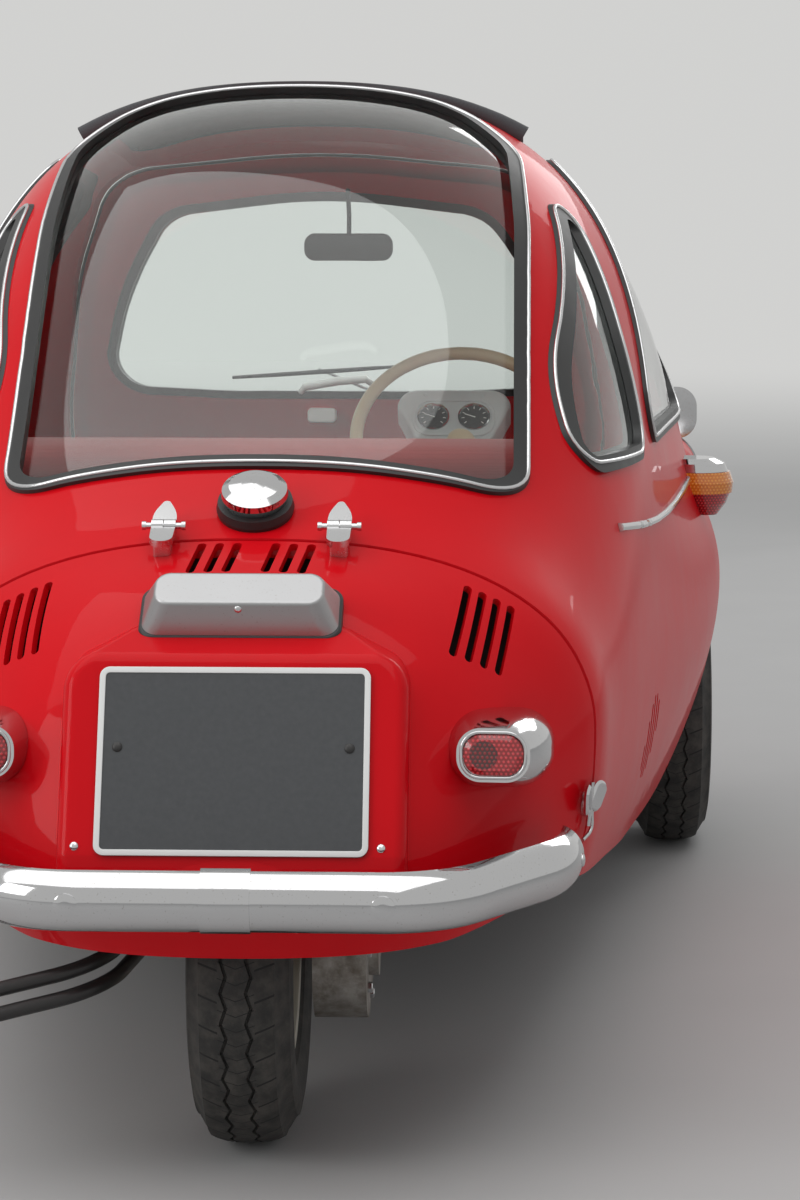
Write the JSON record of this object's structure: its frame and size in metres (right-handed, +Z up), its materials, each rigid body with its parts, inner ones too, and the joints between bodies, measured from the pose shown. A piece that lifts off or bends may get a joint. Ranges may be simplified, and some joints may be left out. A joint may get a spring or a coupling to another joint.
{
  "type": "bubble car",
  "caption": "Egg-shaped three-wheeled microcar with a front door, bubble windows, a folding roof and a hinged tail over its single rear wheel",
  "frame": {"origin": "on the road under the middle of the car", "axes": "+Y forward along the length, +X to the car's right, +Z up"},
  "size_m": [1.392, 2.5428, 1.3431],
  "materials": {
    "amber": "amber lens",
    "bright_steel": "bright steel",
    "cast": "cast aluminium",
    "chrome": "polished chrome",
    "cream": "cream rim",
    "dark_steel": "black chassis paint",
    "fabric": "dark grey fabric",
    "glass": "clear",
    "grey_housing": "light grey housing",
    "plate_black": "black plate with a white border",
    "red_lens": "red lens",
    "red_paint": "glossy red paint",
    "rubber": "black rubber",
    "seat_cloth": "red seat cloth",
    "silver": "silver paint",
    "tyre": "black tyre rubber",
    "wheel_paint": "cream wheel paint"
  },
  "bodies": {
    "chassis": {"body_shell": "red_paint", "floor_pan": "dark_steel", "rear_bulkhead": "dark_steel", "rear_window": "glass", "rear_window_seal": "rubber", "side_windows": "glass", "side_window_seals": "rubber", "sunroof_fabric": "fabric", "front_bumper": "chrome", "headlamp_pods": "red_paint", "headlamp_rings": "chrome", "headlamp_lenses": "glass", "filler_grommet": "rubber", "filler_cap": "chrome", "lid_hinges_body": "bright_steel", "side_strips": "chrome", "indicator_caps": "chrome", "indicator_lenses": "amber", "indicator_reds": "red_lens", "mirrors": "chrome", "door_hinges_body": "bright_steel", "engine_block": "cast", "chain_case": "cast", "exhaust_pipes": "dark_steel", "seat_cushion": "seat_cloth", "seat_back": "seat_cloth", "steering_column": "dark_steel", "instrument_binnacle": "grey_housing", "pedals": "dark_steel", "front_axle": "dark_steel", "seat_base": "red_paint"},
    "door": {"front_door": "red_paint", "windscreen": "glass", "windscreen_seal": "rubber", "door_handle": "chrome", "door_hinges_door": "bright_steel"},
    "lid": {"tail_lid": "red_paint", "rear_bumper": "chrome", "tail_lamp_bezels": "chrome", "tail_lamp_lenses": "red_lens", "number_plate": "plate_black", "plate_lamp_gasket": "rubber", "plate_lamp": "silver", "lid_hinges_lid": "bright_steel", "lid_latches": "chrome"},
    "left_knuckle": {"knuckle_left": "dark_steel"},
    "right_knuckle": {"knuckle_right": "dark_steel"},
    "tie_rod": {"tie_rod": "dark_steel"},
    "rear_wheel": {"tyre_rear": "tyre", "rim_rear": "wheel_paint", "hub_cap_rear": "chrome"},
    "left_wheel": {"tyre_front_left": "tyre", "rim_front_left": "wheel_paint", "hub_cap_front_left": "chrome"},
    "right_wheel": {"tyre_front_right": "tyre", "rim_front_right": "wheel_paint", "hub_cap_front_right": "chrome"},
    "steering_wheel": {"steering_wheel": "cream"}
  },
  "joints": [
    {"name": "rear_wheel_spin", "type": "hinge", "parent": "chassis", "child": "rear_wheel", "pos_m": [0, -0.884, 0.246], "axis": [1, 0, 0], "continuous": true},
    {"name": "steer_left", "type": "hinge", "parent": "chassis", "child": "left_knuckle", "pos_m": [-0.54, 0.876, 0.246], "axis": [0, 0, 1], "range_deg": [-30, 30]},
    {"name": "steer_right", "type": "hinge", "parent": "chassis", "child": "right_knuckle", "pos_m": [0.54, 0.876, 0.246], "axis": [0, 0, 1], "range_deg": [-30, 30]},
    {"name": "tie_rod_pivot", "type": "hinge", "parent": "left_knuckle", "child": "tie_rod", "pos_m": [-0.54, 0.791, 0.16], "axis": [0, 0, 1], "range_deg": [-30, 30]},
    {"name": "left_wheel_spin", "type": "hinge", "parent": "left_knuckle", "child": "left_wheel", "pos_m": [-0.61, 0.876, 0.246], "axis": [1, 0, 0], "continuous": true},
    {"name": "right_wheel_spin", "type": "hinge", "parent": "right_knuckle", "child": "right_wheel", "pos_m": [0.61, 0.876, 0.246], "axis": [1, 0, 0], "continuous": true},
    {"name": "steering_wheel_turn", "type": "hinge", "parent": "chassis", "child": "steering_wheel", "pos_m": [0.235, 0.446, 0.765], "axis": [0, 0.7727, -0.6347], "range_deg": [-300, 300]},
    {"name": "front_door_hinge", "type": "hinge", "parent": "chassis", "child": "door", "pos_m": [0.534, 1.166, 0.44], "axis": [0, 0.2249, -0.9744], "range_deg": [0, 85]},
    {"name": "tail_lid_hinge", "type": "hinge", "parent": "chassis", "child": "lid", "pos_m": [0, -0.872, 0.768], "axis": [-1, 0, 0], "range_deg": [0, 68]}
  ],
  "couplings": [
    {"joint": "steer_right", "follows": "steer_left", "ratio": 1},
    {"joint": "tie_rod_pivot", "follows": "steer_left", "ratio": -1},
    {"joint": "steering_wheel_turn", "follows": "steer_left", "ratio": -10}
  ]
}
